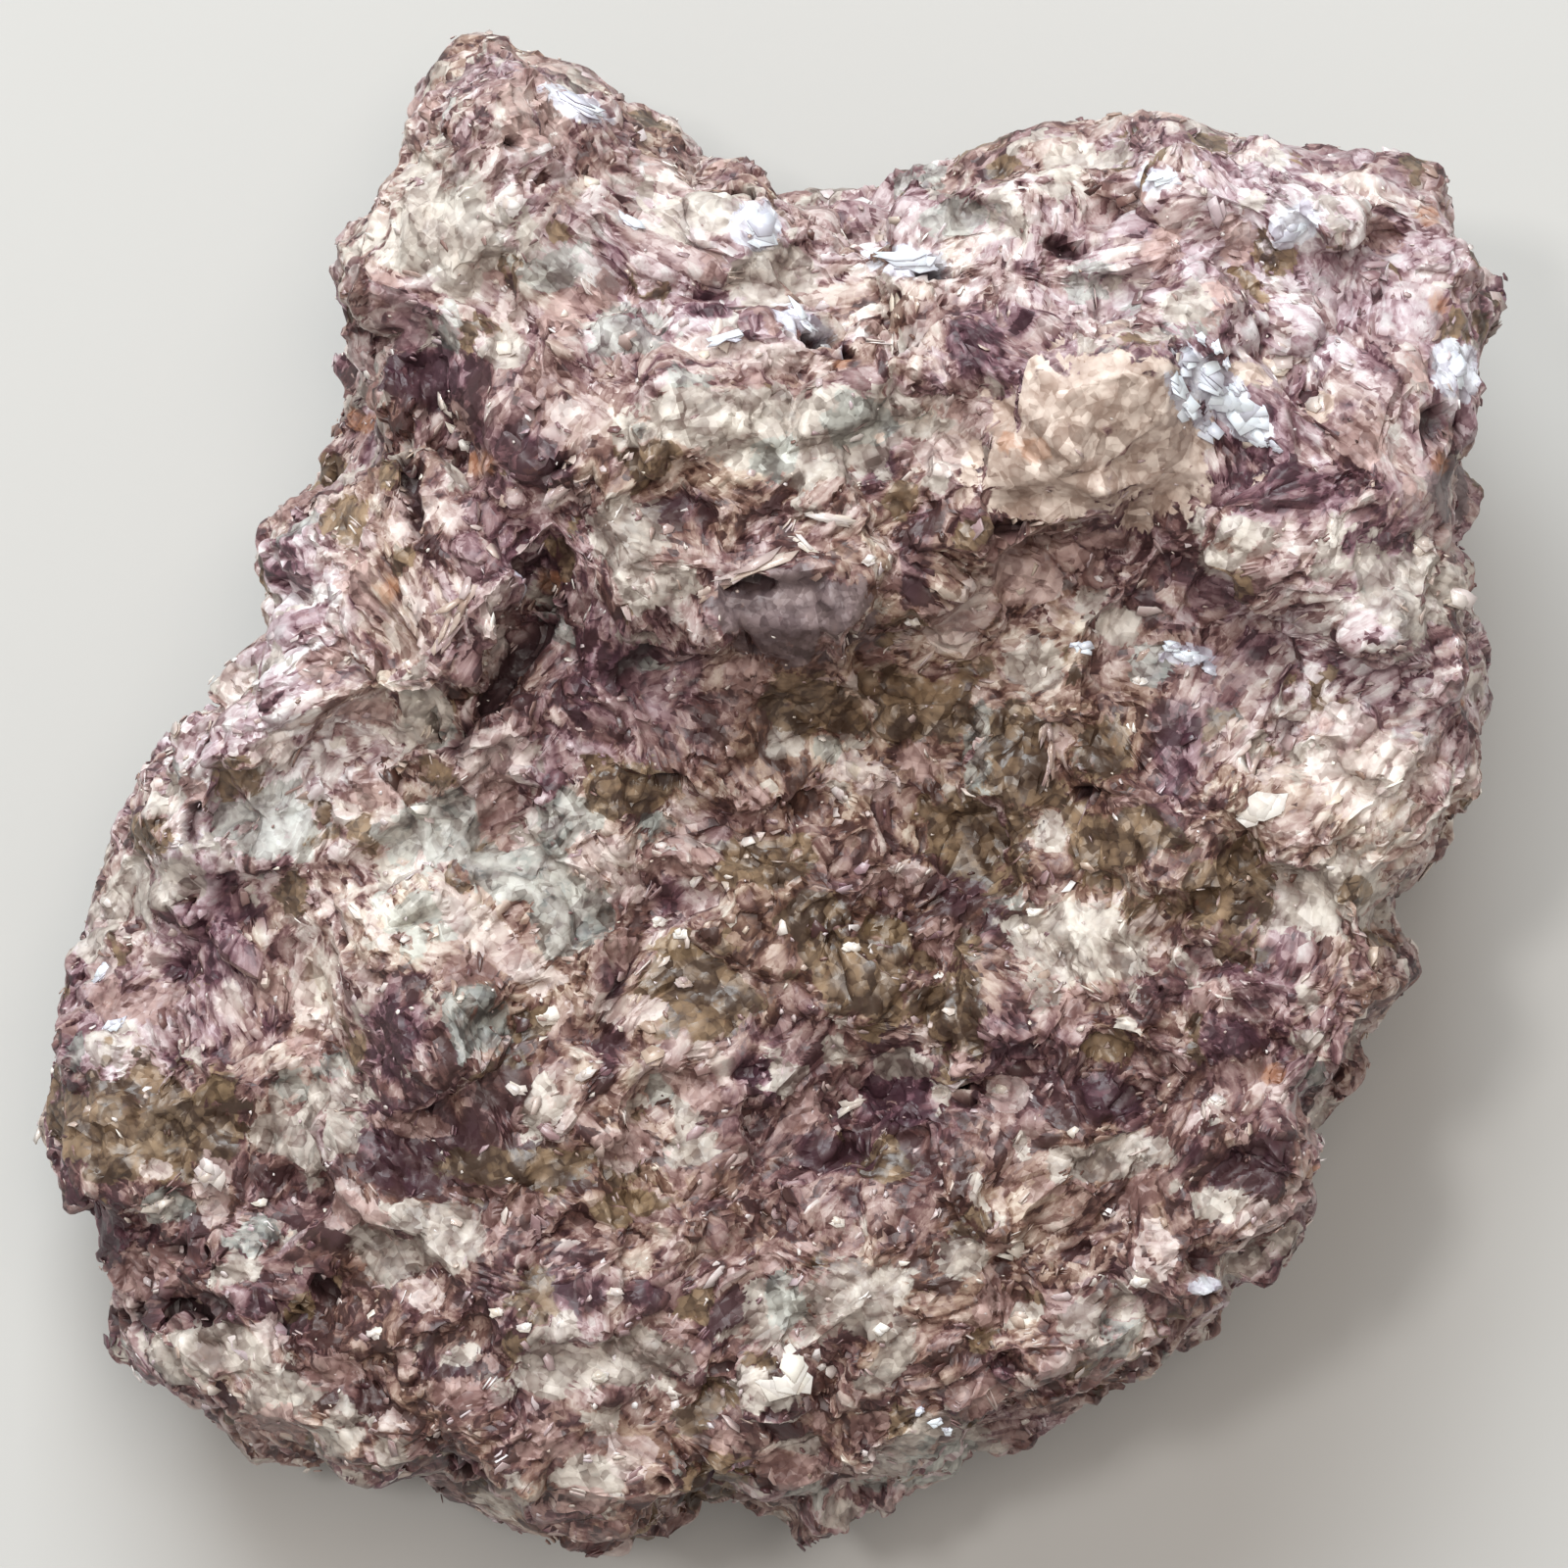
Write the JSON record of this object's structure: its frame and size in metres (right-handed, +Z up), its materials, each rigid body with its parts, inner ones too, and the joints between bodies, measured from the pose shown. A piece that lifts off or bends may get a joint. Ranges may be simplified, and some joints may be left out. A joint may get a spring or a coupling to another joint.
{
  "type": "raw lepidolite stone",
  "caption": "Rough broken lump of lilac and purple mica rock with a narrow peak, a broad shoulder and a brown glassy hollow, lying on its flat back.",
  "frame": {"origin": "middle of the bounding box in X and Y, at the flat broken face that the stone rests on", "axes": "+Z up out of the pictured face, +Y towards the peak at the top of the picture, +X towards the stone's right side in the picture"},
  "size_m": [0.0618, 0.0638, 0.0317],
  "materials": {
    "lepidolite": "rough broken rock with pearly mica flakes"
  },
  "bodies": {
    "root": {"lepidolite_stone": "lepidolite"}
  },
  "joints": []
}
